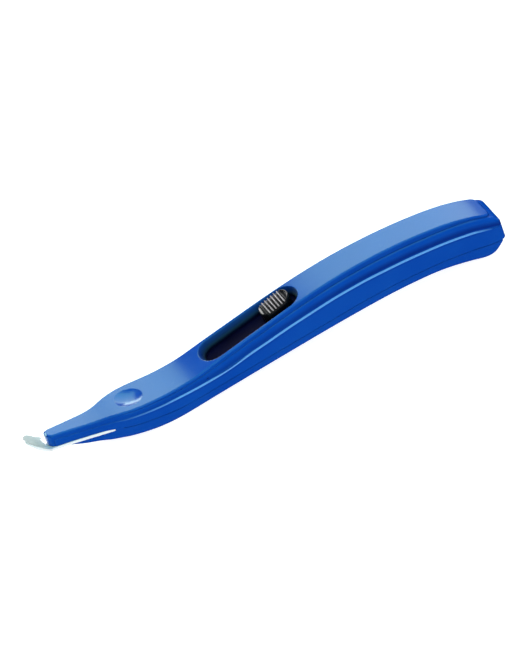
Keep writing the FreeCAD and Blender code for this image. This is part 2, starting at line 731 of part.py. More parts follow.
def lower_shell():
    shell = lower_outer().cut(parting_groove()).cut(blade_seat()).cut(lower_cavity())
    shell = shell.fuse(lip_ring()).fuse(lower_fittings())
    for reach in POST_REACHES:
        seat = Vec(reach, 0, blade_under(reach) - ROOT)
        shell = shell.fuse(Part.makeCylinder(POST_RADIUS, SOCKET_DEPTH + BLADE_THICK, seat))
    return shell


# ---------------------------------------------------------------- blade
def along_blade(distance):
    """Reach, height and slope angle of the blade's upper face at a distance from its tip."""
    shank_angle, ramp = math.atan(BLADE_SLOPE), math.radians(RAMP_ANGLE)
    bend_reach = BEND_START - BEND_RADIUS * (math.sin(ramp) - math.sin(shank_angle))
    ramp_length = (bend_reach - BLADE_EDGE_THICK * math.sin(ramp)) / math.cos(ramp)
    bend_length = BEND_RADIUS * (ramp - shank_angle)
    past_bend = distance - ramp_length - bend_length
    if past_bend > 0:
        reach = BEND_START + past_bend * math.cos(shank_angle)
        return reach, blade_top(reach), shank_angle
    angle = ramp - max(distance - ramp_length, 0.0) / BEND_RADIUS
    reach = BEND_START - BEND_RADIUS * (math.sin(angle) - math.sin(shank_angle))
    height = blade_top(BEND_START) + BEND_RADIUS * (math.cos(shank_angle) - math.cos(angle))
    straight = max(ramp_length - distance, 0.0)
    return reach - straight * math.cos(ramp), height + straight * math.sin(ramp), angle


def scoop_width(distance, reach):
    """Half width and cup of the scoop: a rounded tip, full sides and a neck."""
    if distance < SCOOP_TIP:
        share = math.sqrt(1.0 - ((SCOOP_TIP - distance) / SCOOP_TIP) ** 2)
        return SCOOP_HALF * share, SCOOP_CUP * share
    if distance < SCOOP_SHOULDER:
        return SCOOP_HALF, SCOOP_CUP
    share = 0.0
    if distance < SCOOP_NECK:
        share = 0.5 + 0.5 * math.cos(math.pi * (distance - SCOOP_SHOULDER) / (SCOOP_NECK - SCOOP_SHOULDER))
    return smooth(BLADE_HALF, reach) * (1 - share) + SCOOP_HALF * share, SCOOP_CUP * share


def scoop_section(distance):
    """Cross-section of the scoop at a distance along it from its tip."""
    reach, height, angle = along_blade(distance)
    half, cup = scoop_width(distance, reach)
    thick = BLADE_EDGE_THICK + (BLADE_THICK - BLADE_EDGE_THICK) * min(distance / SCOOP_TAPER, 1.0)
    normal, centre = Vec(math.sin(angle), 0, math.cos(angle)), Vec(reach, 0, height)
    sideways = Vec(0, half, 0)
    faces = []
    for drop in (0.0, -thick):
        rim, middle = centre + normal * (drop + cup), centre + normal * (drop - cup)
        strips = bent_stretches(rim - sideways, middle, rim + sideways, SCOOP_PIECES)
        faces.append([[Vec(*pole) for pole in poles] for poles in strips])
    upper, under = faces
    back = [list(reversed(poles)) for poles in reversed(under)]
    return upper + [[upper[-1][-1], back[0][0]]] + back + [[back[-1][-1], upper[0][0]]]


def scoop():
    """The upturned, cupped tip, up to the plain shank."""
    distances = [SCOOP_TIP * share for share in (0.01, 0.12, 0.4, 1.0)]
    distances += [SCOOP_BEND, SCOOP_SHOULDER, 0.5 * (SCOOP_SHOULDER + SCOOP_NECK), SCOOP_NECK, SCOOP_END]
    return skinned([scoop_section(distance) for distance in distances])


def shank():
    """The flat part of the blade, drawn flat and laid on its slope."""
    start, height, angle = along_blade(SCOOP_END)

    def flat(reach, side):
        return Vec((reach - start) / math.cos(angle), side, 0)

    flare = Part.BSplineCurve()
    reaches = stations(start, BLADE_COVERED, SLAB_SPACING)
    flare.interpolate([flat(reach, -smooth(BLADE_HALF, reach)) for reach in reaches])
    half, rear, corner = BLADE_HALF[-1][1], BLADE_REAR, BLADE_CORNER
    lean = corner * (1 - math.sqrt(0.5))
    near = [flare.toShape(), pole_edge([flat(BLADE_COVERED, -half), flat(rear - corner, -half)]),
            Part.Arc(flat(rear - corner, -half), flat(rear - lean, lean - half),
                     flat(rear, corner - half)).toShape()]
    far = [edge.mirror(Vec(0, 0, 0), Vec(0, 1, 0)) for edge in near]
    front_half = smooth(BLADE_HALF, start)
    ends = [pole_edge([flat(rear, corner - half), flat(rear, half - corner)]),
            pole_edge([flat(start, front_half), flat(start, -front_half)])]
    plate = Part.Face(Part.Wire(Part.__sortEdges__(near + far + ends))).extrude(Vec(0, 0, -BLADE_THICK))
    plate.rotate(Vec(0, 0, 0), Vec(0, 1, 0), math.degrees(angle))
    plate.translate(Vec(start, 0, height))
    return plate


def lifting_blade():
    blade = scoop().fuse(shank())
    for reach in POST_REACHES:
        blade = blade.cut(Part.makeCylinder(BLADE_HOLE_RADIUS, TOP, Vec(reach, 0, -1)))
    return blade


# ---------------------------------------------------------------- slider
def tilted(shape):
    """Lean a shape of the button's top back, about the middle of the button."""
    leaned = shape.copy()
    leaned.rotate(Vec(0, 0, BUTTON_RISE), Vec(0, 1, 0), -BUTTON_TILT)
    return leaned


def button_block():
    """The button's block with its blunt rounded front and its leaning, crowned top."""
    low, front = -FLOOR_DEPTH - SLIDE_GAP, -BUTTON_HALF_LENGTH
    block = rounded_block(BUTTON_HALF_LENGTH, BUTTON_HALF_WIDTH, BUTTON_CORNER, low,
                          BUTTON_RISE + 2 * CLEAR)
    crown = Part.makeCylinder(BUTTON_CROWN, TOP, Vec(-TOP / 2, 0, BUTTON_RISE - BUTTON_CROWN), Vec(1, 0, 0))
    top = BUTTON_RISE - math.tan(math.radians(BUTTON_TILT)) * BUTTON_HALF_LENGTH
    start, brow = Vec(front, 0, top - BUTTON_FRONT_DROP), Vec(front + BUTTON_FRONT_DROP, 0, top + BUTTON_LIFT)
    round_by = BUTTON_FRONT_ROUND * BUTTON_FRONT_DROP
    nose = Part.Arc(start, Vec(front + round_by, 0, top - round_by), brow).toShape()
    beyond = [brow, Vec(brow.x, 0, TOP), Vec(front - CLEAR, 0, TOP), Vec(front - CLEAR, 0, start.z), start]
    waste = across(Part.Face(Part.Wire([nose] + Part.makePolygon(beyond).Edges)))
    return block.common(tilted(crown)).cut(waste)


def grip_groove(place):
    """Groove across the crown, wider at its mouth than at its floor."""
    mouth, floor = GROOVE_MOUTH / 2, GROOVE_FLOOR / 2
    high, low = BUTTON_RISE + GROOVE_LIFT, BUTTON_RISE - GROOVE_DEPTH
    section = polygon_face([Vec(place - mouth, 0, high), Vec(place + mouth, 0, high),
                            Vec(place + floor, 0, low), Vec(place - floor, 0, low)])
    centre = Vec(0, 0, BUTTON_RISE - BUTTON_CROWN)
    section.rotate(centre, Vec(1, 0, 0), -GROOVE_SWEEP)
    return tilted(section.revolve(centre, Vec(1, 0, 0), 2 * GROOVE_SWEEP))


def thumb_pocket():
    """Hollow behind the grip that the thumb pulls against, with a rim at the rear."""
    inner = rounded_block(BUTTON_HALF_LENGTH - POCKET_RIM, BUTTON_HALF_WIDTH - POCKET_RIM,
                          BUTTON_CORNER - POCKET_RIM, BUTTON_RISE - POCKET_DEPTH, BUTTON_RISE + 2 * CLEAR)
    return tilted(inner.common(box((POCKET_START, -FAR, -CLEAR), (FAR, FAR, BUTTON_RISE + 2 * CLEAR))))


def snap_leg(side):
    """Leg under the button that passes through the slide plate and hooks under it."""
    under = -FLOOR_DEPTH - SLIDE_GAP - CARRIER_THICK
    middle = side * LEG_OFFSET
    outer, half = middle + side * LEG_HALF, LEG_WIDTH
    leg = box((middle - LEG_HALF, -half, under - LEG_FOOT), (middle + LEG_HALF, half, -FLOOR_DEPTH))
    catch = under - LEG_PLAY
    barb = polygon_face([Vec(outer, -half, catch), Vec(outer + side * LEG_BARB, -half, catch),
                         Vec(outer, -half, under - LEG_FOOT)])
    return leg.fuse(barb.extrude(Vec(0, 2 * half, 0)))


def thumb_slider():
    body = button_block()
    for index in range(GRIP_COUNT):
        body = body.cut(grip_groove(GRIP_START + index * GRIP_PITCH))
    body = joined([body.cut(thumb_pocket()), snap_leg(-1), snap_leg(1)])
    body.translate(Vec(BUTTON_REACH, 0, 0))
    return on_slot(body)


def magnet_carrier():
    """Slide plate under the slot, with a pocket for the magnet and windows for the button's legs."""
    top = -FLOOR_DEPTH - SLIDE_GAP
    low = top - CARRIER_THICK
    plate = box((CARRIER_FRONT, -CARRIER_HALF, low), (CARRIER_REAR, CARRIER_HALF, top))
    uprights = [edge for edge in plate.Edges if abs(edge.tangentAt(0).z) > 0.9]
    plate = plate.makeFillet(CARRIER_CORNER, uprights)
    front, ceiling = CARRIER_FRONT + MAGNET_START - MAGNET_PLAY, low + MAGNET_THICK
    side, rear = MAGNET_HALF + MAGNET_PLAY, front + MAGNET_LENGTH + 2 * MAGNET_PLAY
    pocket = box((front, -side, low - CLEAR), (rear, side, ceiling))
    mouth = box((CARRIER_FRONT - CLEAR, MAGNET_LIP - side, low - CLEAR),
                (front + CLEAR, side - MAGNET_LIP, ceiling))
    plate = plate.cut(pocket).cut(mouth)
    for sign in (-1, 1):
        middle = BUTTON_REACH + sign * LEG_OFFSET
        inner, outer = LEG_HALF + WINDOW_PLAY, LEG_HALF + LEG_BARB + WINDOW_PLAY
        ends = sorted((middle - sign * inner, middle + sign * outer))
        wide = LEG_WIDTH + WINDOW_PLAY
        plate = plate.cut(box((ends[0], -wide, low - CLEAR), (ends[1], wide, top + CLEAR)))
    return on_slot(plate)


def magnet():
    low, front = -FLOOR_DEPTH - SLIDE_GAP - CARRIER_THICK, CARRIER_FRONT + MAGNET_START
    bar = box((front, -MAGNET_HALF, low), (front + MAGNET_LENGTH, MAGNET_HALF, low + MAGNET_THICK))
    return on_slot(bar.makeChamfer(MAGNET_CHAMFER, bar.Edges))


# ---------------------------------------------------------------- export
def export(name, shape):
    """Write one piece, shifted so that the origin is the middle of the footprint."""
    shape = shape.translated(Vec(-LENGTH / 2, 0, 0))
    if len(shape.Solids) == 1:
        shape = shape.Solids[0]
    shape.exportStep("parts/%s.step" % name)
    print("%-15s valid %s solids %d volume %.1f" % (name, shape.isValid(), len(shape.Solids), shape.Volume))


PIECES = {
    "upper_shell": upper_shell,
    "lower_shell": lower_shell,
    "lifting_blade": lifting_blade,
    "thumb_slider": thumb_slider,
    "magnet_carrier": magnet_carrier,
    "magnet": magnet,
}

os.makedirs("parts", exist_ok=True)
for piece, make in PIECES.items():
    export(piece, make())
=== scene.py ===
# %% [markdown]
# # Dressing a staple remover
# The real tool is a slim plastic handle in two moulded shells, a polished steel blade
# clamped in its nose, and a black thumb button that runs in a long slot and carries a
# magnet. The solids of the tool are already made. This lesson loads them, gives each one a
# finish, and rebuilds the one piece that a plain solid can't show well: the ribbed button.
#
# Every length is in metres, and the tool lies on the floor at height zero with its nose
# towards -X. Small lengths are written as a number of millimetres times `MM`.

# %% Load the frame
import json
import math
import bmesh
import bpy
from mathutils import Matrix, Vector

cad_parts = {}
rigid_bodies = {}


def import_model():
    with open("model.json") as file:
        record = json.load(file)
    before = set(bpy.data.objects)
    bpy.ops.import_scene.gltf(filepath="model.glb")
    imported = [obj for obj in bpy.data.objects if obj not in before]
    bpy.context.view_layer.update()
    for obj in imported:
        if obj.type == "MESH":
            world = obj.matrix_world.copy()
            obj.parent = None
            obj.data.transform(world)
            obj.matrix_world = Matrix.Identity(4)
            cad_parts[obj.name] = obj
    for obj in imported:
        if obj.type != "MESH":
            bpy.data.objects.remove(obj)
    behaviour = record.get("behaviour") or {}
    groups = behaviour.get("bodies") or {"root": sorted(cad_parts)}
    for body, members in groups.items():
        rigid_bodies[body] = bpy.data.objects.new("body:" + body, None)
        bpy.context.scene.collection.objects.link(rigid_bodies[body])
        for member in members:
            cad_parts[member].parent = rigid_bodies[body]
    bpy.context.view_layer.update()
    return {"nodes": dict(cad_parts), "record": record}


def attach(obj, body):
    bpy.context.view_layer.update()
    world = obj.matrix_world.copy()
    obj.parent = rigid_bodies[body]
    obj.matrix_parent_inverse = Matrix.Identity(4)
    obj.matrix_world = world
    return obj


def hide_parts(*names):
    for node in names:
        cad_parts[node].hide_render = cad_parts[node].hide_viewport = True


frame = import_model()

MM = 0.001

# %% [markdown]
# ## The camera
# A long lens far away shows a small product with almost no perspective, as a catalogue
# does; a short lens close by would swell the blade and shrink the rear end. The direction
# could come from an empty that the camera tracks. Three plain angles are easier to read and
# to change: an azimuth, an elevation, and the roll that makes the tool climb across the
# frame.

# %% Camera
AZIMUTH, ELEVATION, ROLL = -13.56, 36.19, -19.3
AIM = Vector((2.1, 0.0, 12.1)) * MM
DISTANCE, LENS, SENSOR = 5.787, 1000.0, 36.0
NEAREST, FARTHEST = 0.05, 50.0


def view_turn(azimuth, elevation, roll):
    """Turn of a camera that looks at the tool from an azimuth and an elevation, rolled."""
    turn = Matrix.Rotation(math.radians(azimuth), 3, "Z")
    tilt = Matrix.Rotation(math.radians(90.0 - elevation), 3, "X")
    return turn @ tilt @ Matrix.Rotation(math.radians(roll), 3, "Z")


camera = bpy.data.objects.new("camera", bpy.data.cameras.new("camera"))
bpy.context.scene.collection.objects.link(camera)
turn = view_turn(AZIMUTH, ELEVATION, ROLL)
stand = AIM + turn @ Vector((0, 0, DISTANCE))
camera.matrix_world = Matrix.Translation(stand) @ turn.to_4x4()
camera.data.lens, camera.data.sensor_width = LENS, SENSOR
camera.data.clip_start, camera.data.clip_end = NEAREST, FARTHEST
bpy.context.scene.camera = camera
bpy.context.scene.view_settings.view_transform = "Standard"
print("camera at", [round(v, 3) for v in camera.location])

# %% [markdown]
# ## The lamps
# A glossy tool is lit by large soft lamps, because it shows their shapes. One soft box
# behind it, to the right, puts the long soft shine on the top panel. Three wide panels give
# even light from above, from the front and from the right; they don't show in the gloss, as
# screened lamps wouldn't, so the sides keep their deep colour. The panel above gives less
# red and the one in front less green, which keeps the blue clean on top and deep at the
# side. Three cards show only in the gloss: one in front draws a line along the rounded
# edges, one low behind the tool lights the near half of the dimple, and one behind the nose
# lights the ribs and the front of the button.
#
# Glowing planes would do the same with more noise. Area lamps can also be hidden from the
# camera, so none shows from any side.

# %% Lamps
def lamp(name, azimuth, elevation, distance, size, radiance, colour=(1, 1, 1),
         in_gloss=True, on_surfaces=True):
    """Rectangular soft lamp that faces the tool from a direction, with a given brightness."""
    light = bpy.data.lights.new(name, "AREA")
    light.shape = "RECTANGLE"
    light.size, light.size_y = size
    light.energy = radiance * math.pi * size[0] * size[1]
    light.color = colour
    item = bpy.data.objects.new(name, light)
    bpy.context.scene.collection.objects.link(item)
    facing = view_turn(azimuth, elevation, 0.0)
    stand = facing @ Vector((0, 0, distance))
    item.matrix_world = Matrix.Translation(stand) @ facing.to_4x4()
    item.visible_camera = False
    item.visible_glossy, item.visible_diffuse = in_gloss, on_surfaces
    return item


lamps = [
    lamp("soft_box", azimuth=150, elevation=40, distance=1.5, size=(1.15, 1.25),
         radiance=2.8),
    lamp("overhead_panel", azimuth=0, elevation=82, distance=1.6, size=(1.9, 1.9),
         radiance=2.5, colour=(0.4, 1.0, 0.85), in_gloss=False),
    lamp("front_panel", azimuth=-25, elevation=30, distance=1.9, size=(1.9, 1.2),
         radiance=1.6, colour=(1.0, 0.8, 1.0), in_gloss=False),
    lamp("right_panel", azimuth=88, elevation=14, distance=1.6, size=(0.9, 0.7),
         radiance=2.6, in_gloss=False),
    lamp("rim_strip", azimuth=18, elevation=52, distance=1.5, size=(1.7, 0.42),
         radiance=1.2, on_surfaces=False),
    lamp("low_card", azimuth=173, elevation=14, distance=1.5, size=(0.75, 0.36),
         radiance=5.0, on_surfaces=False),
    lamp("front_card", azimuth=-146, elevation=18, distance=1.5, size=(0.75, 0.6),
         radiance=9.0, on_surfaces=False)]
print("lamps:", [item.name for item in lamps])

# %% [markdown]
# ## The sky
# The room around the lamps is what the gloss mirrors between them. An even grey sky would
# wash out the sides, so this one is dim overhead and fades to black at the horizon.

# %% Sky
SKY_COLOUR, SKY_STRENGTH, SKY_FULL = (0.86, 0.93, 1.0, 1.0), 0.22, 0.35

world = bpy.data.worlds.new("studio")
bpy.context.scene.world = world
world.use_nodes = True
sky = world.node_tree
upward = sky.nodes.new("ShaderNodeTexCoord").outputs["Generated"]
split = sky.nodes.new("ShaderNodeSeparateXYZ")
horizon = sky.nodes.new("ShaderNodeMapRange")
horizon.inputs["From Min"].default_value = 0.0
horizon.inputs["From Max"].default_value = SKY_FULL
horizon.inputs["To Max"].default_value = SKY_STRENGTH
sky.links.new(upward, split.inputs[0])
sky.links.new(split.outputs["Z"], horizon.inputs["Value"])
sky.links.new(horizon.outputs["Result"], sky.nodes["Background"].inputs["Strength"])
sky.nodes["Background"].inputs["Color"].default_value = SKY_COLOUR
print("sky:", len(sky.nodes), "nodes")

# %% [markdown]
# ## The floor
# The tool lies on plain white paper. One large square is enough, a hair below height zero so
# that it never shares a plane with the flats that the tool rests on. It stays out of the
# gloss, because a white floor mirrored in the belly would hide the blue.

# %% Floor
FLOOR_REACH, FLOOR_LEVEL = 4.0, -0.00005

floor_mesh = bpy.data.meshes.new("floor")
floor_mesh.from_pydata([(x * FLOOR_REACH, y * FLOOR_REACH, FLOOR_LEVEL)
                        for x, y in ((-1, -1), (1, -1), (1, 1), (-1, 1))],
                       [], [(0, 1, 2, 3)])
floor = bpy.data.objects.new("floor", floor_mesh)
bpy.context.scene.collection.objects.link(floor)
floor.visible_glossy = False
print("floor:", 2 * FLOOR_REACH, "m square")

# %% [markdown]
# ## A frame for the slot and its button
# The slot and the button lie on the sloping part of the panel, so they are described in a
# frame of their own: *along* the slope, *side* across it and *out* of it. The numbers could
# be typed in. Reading the directions from the joint and the place from the solid button
# keeps them true to the tool. `CORNER` is the radius of the button's round ends, `TILT` is
# how much its crown rises towards the rear, and `CREST` is the height of the crown's middle.

# %% Frame of the slope
ALONG = -Vector(frame["record"]["behaviour"]["joints"][0]["axis"]).normalized()
SIDE = Vector((0.0, 1.0, 0.0))
OUT = ALONG.cross(SIDE)
solid = frame["nodes"]["thumb_slider"]
points = [solid.matrix_world @ vertex.co for vertex in solid.data.vertices]
places, heights = [point.dot(ALONG) for point in points], [point.dot(OUT) for point in points]
HALF_LENGTH = (max(places) - min(places)) / 2
HALF_WIDTH = max(point.y for point in points)
CORNER = HALF_WIDTH - 0.15 * MM
MIDDLE, PEAK = (max(places) + min(places)) / 2, max(heights)
TILT = math.tan(math.radians(3.6))
CREST = PEAK - HALF_LENGTH * TILT
print("button", round(2000 * HALF_LENGTH, 2), "x", round(2000 * HALF_WIDTH, 2), "mm")

# %% [markdown]
# ## Small helpers for shader trees
# A material is a tree of nodes, which could be joined by hand in the editor. Built in code,
# it can be read and repeated. These helpers add a node, set its plain values and join its
# inputs in one call, so that each recipe below reads as a list of steps.

# %% Node helpers
def add(tree, kind, values=None, **settings):
    """Add a node; values are constants or sockets to join, settings are node options."""
    node = tree.nodes.new(kind)
    for key, value in settings.items():
        setattr(node, key, value)
    for key, value in (values or {}).items():
        if isinstance(value, bpy.types.NodeSocket):
            tree.links.new(value, node.inputs[key])
        else:
            node.inputs[key].default_value = value
    return node


def calc(tree, operation, first, second=0.0):
    """Result of a plain sum on numbers or sockets."""
    return add(tree, "ShaderNodeMath", {0: first, 1: second}, operation=operation).outputs[0]


def ramp(tree, factor, low, high):
    """Value from 0 to 1 as a factor goes from low to high, and level outside them."""
    node = add(tree, "ShaderNodeMapRange", {"Value": factor, "From Min": low, "From Max": high})
    return node.outputs["Result"]


def tint(tree, factor, first, second):
    """Colour between two colours or sockets."""
    node = add(tree, "ShaderNodeMix", {0: factor, 6: first, 7: second}, data_type="RGBA")
    return node.outputs[2]


print("node helpers: add, calc, ramp, tint")

# %% [markdown]
# ## Helpers for effects and materials
# An effect that comes back on several finishes, such as scratches, is a node group with
# named inputs, built once and placed in each material with values of its own. Copying its
# nodes into every material would work too, but then each change is made many times.

# %% Effect and material helpers
def effect(name, inputs, outputs):
    """Empty shader node group with named number inputs and named number outputs."""
    tree = bpy.data.node_groups.new(name, "ShaderNodeTree")
    for label, value in inputs.items():
        socket = tree.interface.new_socket(label, in_out="INPUT",
                                           socket_type="NodeSocketFloat")
        socket.default_value = value
    for label in outputs:
        tree.interface.new_socket(label, in_out="OUTPUT", socket_type="NodeSocketFloat")
    return tree, add(tree, "NodeGroupInput"), add(tree, "NodeGroupOutput")


def put_in(material, group, **values):
    """Put an effect into a material, with its own values."""
    node = material.node_tree.nodes.new("ShaderNodeGroup")
    node.node_tree = group
    for label, value in values.items():
        node.inputs[label.replace("_", " ")].default_value = value
    return node


def new_material(name, **constants):
    """Material with a Principled shader whose plain values are set on its own sockets."""
    material = bpy.data.materials.new(name)
    material.use_nodes = True
    shader = material.node_tree.nodes["Principled BSDF"]
    for label, value in constants.items():
        shader.inputs[label.replace("_", " ")].default_value = value
    return material, material.node_tree, shader


print("material helpers: effect, put_in, new_material")

# %% [markdown]
# ## How a finish reaches the shader
# Colour, roughness and relief are what change over a surface. The roughness starts from a
# base value, and each mark adds to it or takes from it. The relief is a fine bump, laid
# over edges that are rounded only in the shading: a moulded edge catches a thin line of
# light, and rounding it in the mesh would cost many faces for the same line.

# %% Surface helpers
BEVEL_SAMPLES = 6


def colour_shader(tree, shader, colour):
    """Join a colour to the shader."""
    tree.links.new(colour, shader.inputs["Base Color"])


def roughen(tree, shader, base, *marks):
    """Join a roughness to the shader: a base value, and marks with what each one adds."""
    total = base
    for mark, share in marks:
        total = calc(tree, "ADD", total, calc(tree, "MULTIPLY", mark, share))
    tree.links.new(total, shader.inputs["Roughness"])


def relieve(tree, shader, height, depth, edge_radius=None):
    """Join a height to the shader as a fine bump, over edges rounded in the shading."""
    bump = add(tree, "ShaderNodeBump", {"Height": height, "Strength": 1.0,
                                        "Distance": depth * MM})
    if edge_radius:
        soft = add(tree, "ShaderNodeBevel", {"Radius": edge_radius * MM},
                   samples=BEVEL_SAMPLES)
        tree.links.new(soft.outputs[0], bump.inputs["Normal"])
    tree.links.new(bump.outputs[0], shader.inputs["Normal"])


print("surface helpers: colour_shader, roughen, relieve")

# %% [markdown]
# ## Effect: moulded skin
# A steel mould that was spark-eroded and polished leaves a very fine texture on plastic,
# and a wall that cooled unevenly adds slow waves. Two noise textures, one fine and one
# slow, give both without any image. The slow one also shades the colour a little.

# %% Moulded skin
PER_METRE = 1000.0
WAVE_HEIGHT, WAVE_LIMITS = 3.0, (0.3, 0.7)

skin, given, made = effect("moulded_skin", {"Grain Size": 0.12, "Wave Size": 9.0},
                           ("Height", "Shade"))
spot = add(skin, "ShaderNodeTexCoord").outputs["Object"]
fine = calc(skin, "DIVIDE", PER_METRE, given.outputs["Grain Size"])
slow = calc(skin, "DIVIDE", PER_METRE, given.outputs["Wave Size"])
grain = add(skin, "ShaderNodeTexNoise", {"Vector": spot, "Scale": fine, "Detail": 2.0,
                                         "Roughness": 0.6})
wave = add(skin, "ShaderNodeTexNoise", {"Vector": spot, "Scale": slow, "Detail": 1.0})
lifted = calc(skin, "MULTIPLY", wave.outputs["Fac"], WAVE_HEIGHT)
skin.links.new(calc(skin, "ADD", grain.outputs["Fac"], lifted), made.inputs["Height"])
skin.links.new(ramp(skin, wave.outputs["Fac"], *WAVE_LIMITS), made.inputs["Shade"])
print("moulded_skin has", len(skin.nodes), "nodes")

# %% [markdown]
# ## Effect: handling
# Use adds hair scratches and a little dust. Scratches could be drawn one by one; noise that
# is stretched about a hundred times in one direction gives as many as wanted. Two layers,
# swung to different angles about the vertical, keep them from looking combed.

# %% Handling marks
HAIR_SWINGS, HAIR_LIMITS, DUST_LIMITS = (12.0, -31.0), (0.68, 0.8), (0.62, 0.78)

handling, given, made = effect(
    "handling", {"Hair Width": 0.05, "Hair Length": 6.0, "Dust Size": 0.5}, ("Hairs", "Dust"))
spot = add(handling, "ShaderNodeTexCoord").outputs["Object"]
across = calc(handling, "DIVIDE", PER_METRE, given.outputs["Hair Width"])
lengthwise = calc(handling, "DIVIDE", PER_METRE, given.outputs["Hair Length"])
layers = []
for swing in HAIR_SWINGS:
    turned = add(handling, "ShaderNodeVectorRotate",
                 {"Vector": spot, "Angle": math.radians(swing)}, rotation_type="Z_AXIS")
    parts = add(handling, "ShaderNodeSeparateXYZ", {0: turned.outputs[0]})
    drawn = add(handling, "ShaderNodeCombineXYZ", {
        "X": calc(handling, "MULTIPLY", parts.outputs["X"], lengthwise),
        "Y": calc(handling, "MULTIPLY", parts.outputs["Y"], across),
        "Z": calc(handling, "MULTIPLY", parts.outputs["Z"], across)})
    noise = add(handling, "ShaderNodeTexNoise", {"Vector": drawn.outputs[0], "Scale": 1.0,
                                                 "Detail": 1.0})
    layers.append(ramp(handling, noise.outputs["Fac"], *HAIR_LIMITS))
handling.links.new(calc(handling, "MAXIMUM", *layers), made.inputs["Hairs"])
speckle = calc(handling, "DIVIDE", PER_METRE, given.outputs["Dust Size"])
speck = add(handling, "ShaderNodeTexNoise", {"Vector": spot, "Scale": speckle, "Detail": 3.0})
handling.links.new(ramp(handling, speck.outputs["Fac"], *DUST_LIMITS), made.inputs["Dust"])
print("handling has", len(handling.nodes), "nodes")

# %% [markdown]
# ## Effect: edge wear and painted highlight
# This mask finds edges. On the magnet it marks where handling wears the coat first; on the
# plastics it marks where a painted highlight is laid along the edges. Edges could be drawn
# into an image, or found from the sharpness of the mesh, which needs many points. Comparing a
# rounded normal with the plain one finds them on any mesh: the two part only close to an edge.

# %% Edge wear and painted highlight
EDGE_MATCH = (0.995, 0.85)

# Edge mask: wear on the magnet, painted highlight on the plastics.
wear_and_sheen, given, made = effect("edge_wear_and_sheen", {"Radius": 0.35}, ("Edge",))
size = calc(wear_and_sheen, "MULTIPLY", given.outputs["Radius"], MM)
rounded = add(wear_and_sheen, "ShaderNodeBevel", {"Radius": size}, samples=BEVEL_SAMPLES)
plain = add(wear_and_sheen, "ShaderNodeNewGeometry")
match = add(wear_and_sheen, "ShaderNodeVectorMath",
            {0: rounded.outputs[0], 1: plain.outputs["Normal"]}, operation="DOT_PRODUCT")
wear_and_sheen.links.new(ramp(wear_and_sheen, match.outputs["Value"], *EDGE_MATCH), made.inputs["Edge"])
print("edge_wear_and_sheen has", len(wear_and_sheen.nodes), "nodes")

# %% [markdown]
# ## Effect: slot shade
# Little light gets into the deep, narrow slot, and what does is swallowed between its walls.
# Lamps alone leave its far wall too bright. This effect measures, in the frame of the slope,
# whether a point lies within the slot's rounded outline and how far it lies below the rim,
# and stops below the slot's floor so that the inside of the shells stays as it is.

# %% Slot shade
RIM = CREST - 1.05 * MM
SLOT_MIDDLE, SLOT_STRAIGHT, SLOT_HALF = -0.2 * MM, 13.4 * MM, 5.8 * MM
SLOT_SOFT, SHADE_START, SLOT_FLOOR = 0.25 * MM, -0.4, (5.0 * MM, 4.5 * MM)

shade, given, made = effect("slot_shade", {"Depth": 1.2}, ("Shade",))
spot = add(shade, "ShaderNodeTexCoord").outputs["Object"]
on_along, on_side, on_out = [
    add(shade, "ShaderNodeVectorMath", {0: spot, 1: tuple(axis)},
        operation="DOT_PRODUCT").outputs["Value"] for axis in (ALONG, SIDE, OUT)]
past = calc(shade, "ABSOLUTE", calc(shade, "SUBTRACT", on_along, SLOT_MIDDLE))
past = calc(shade, "MAXIMUM", calc(shade, "SUBTRACT", past, SLOT_STRAIGHT), 0.0)
away = calc(shade, "SQRT", calc(shade, "ADD", calc(shade, "MULTIPLY", past, past),
                                calc(shade, "MULTIPLY", on_side, on_side)))
within = ramp(shade, away, SLOT_HALF, SLOT_HALF - SLOT_SOFT)
sunk = calc(shade, "SUBTRACT", RIM, on_out)
depth = calc(shade, "MULTIPLY", given.outputs["Depth"], MM)
down = calc(shade, "MULTIPLY",
            ramp(shade, calc(shade, "DIVIDE", sunk, depth), SHADE_START, 1.0),
            ramp(shade, sunk, *SLOT_FLOOR))
shade.links.new(calc(shade, "MULTIPLY", within, down), made.inputs["Shade"])
print("slot_shade has", len(shade.nodes), "nodes")

# %% [markdown]
# ## Effect: ledge lines
# A narrow ledge runs along both sides of the handle. This effect gives masks for painted light
# along it: a painted highlight on its crest, painted shade on the band under it, and painted
# shade in the cove above it. All three follow the ledge, so the effect needs its height at
# each place along the tool: a curve holds that as a table of stations, and each point's
# height is compared with it. A mask drawn in an image would need an unwrapped mesh.

# %% Ledge height
TOOL_LENGTH, LEDGE_SCALE = 171, 20  # mm
LEDGE = [(0, 13.0), (7, 12.2), (23.4, 9.9), (35, 9.2), (49, 8.1), (62, 8.15), (81, 10.7),
         (100, 13.3), (118, 14.8), (130, 14.8), (145, 14.0), (157, 12.5), (167.6, 9.9),
         (171, 8.9)]  # mm from the blade's tip, mm above the floor

ledge, given, made = effect("ledge_lines", {"Width": 0.3}, ("Crest", "Under", "Cove"))
parts = add(ledge, "ShaderNodeSeparateXYZ",
            {0: add(ledge, "ShaderNodeTexCoord").outputs["Object"]})
station = calc(ledge, "DIVIDE", parts.outputs["X"], TOOL_LENGTH * MM)
station = calc(ledge, "ADD", station, 0.5)
line = add(ledge, "ShaderNodeFloatCurve", {"Value": station})
curve = line.mapping.curves[0]
table = [(reach / TOOL_LENGTH, height / LEDGE_SCALE) for reach, height in LEDGE]
curve.points[0].location, curve.points[1].location = table[0], table[-1]
for reach, height in table[1:-1]:
    curve.points.new(reach, height)
line.mapping.update()
level = calc(ledge, "MULTIPLY", line.outputs[0], LEDGE_SCALE * MM)
level = calc(ledge, "SUBTRACT", parts.outputs["Z"], level)
print("ledge height has", len(curve.points), "stations")

